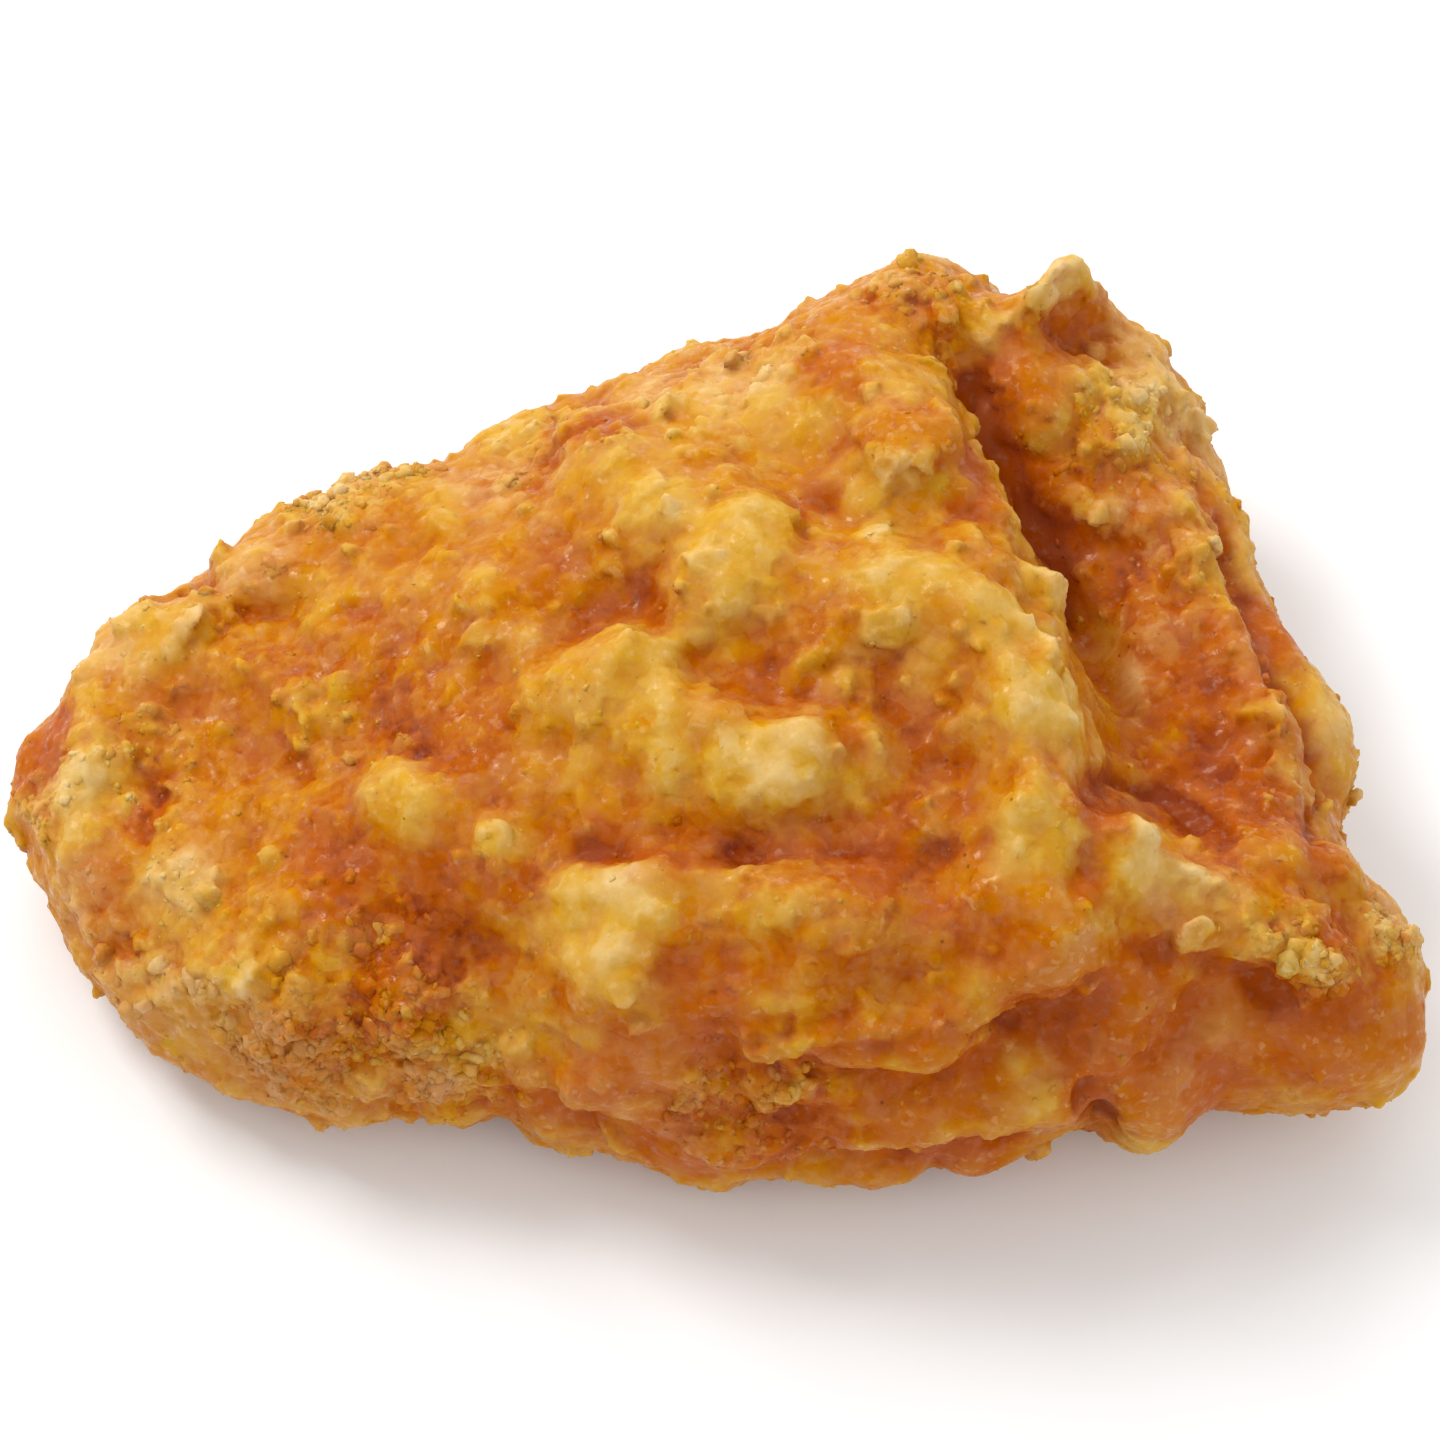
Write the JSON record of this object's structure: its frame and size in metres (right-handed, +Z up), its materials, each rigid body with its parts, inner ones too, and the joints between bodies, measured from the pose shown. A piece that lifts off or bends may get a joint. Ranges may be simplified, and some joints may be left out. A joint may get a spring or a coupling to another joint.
{
  "type": "fried chicken piece",
  "caption": "Wedge-shaped piece of battered, deep fried chicken with a craggy golden crust, a deep cleft near its broad end and a rounded tip, lying flat to be served or eaten.",
  "frame": {"origin": "centre of the bounding box in plan, on the surface that the piece lies on", "axes": "+X runs along the piece's length from its rounded tip to its broad end, +Y runs across it from the tall front wall to the back, and +Z is up through its thickness"},
  "size_m": [0.1284, 0.0898, 0.0422],
  "materials": {
    "golden_crust": "crisp fried batter: pale gold on its crags, red-brown in its hollows, lightly oily"
  },
  "bodies": {
    "root": {"chicken_piece": "golden_crust"}
  },
  "joints": []
}
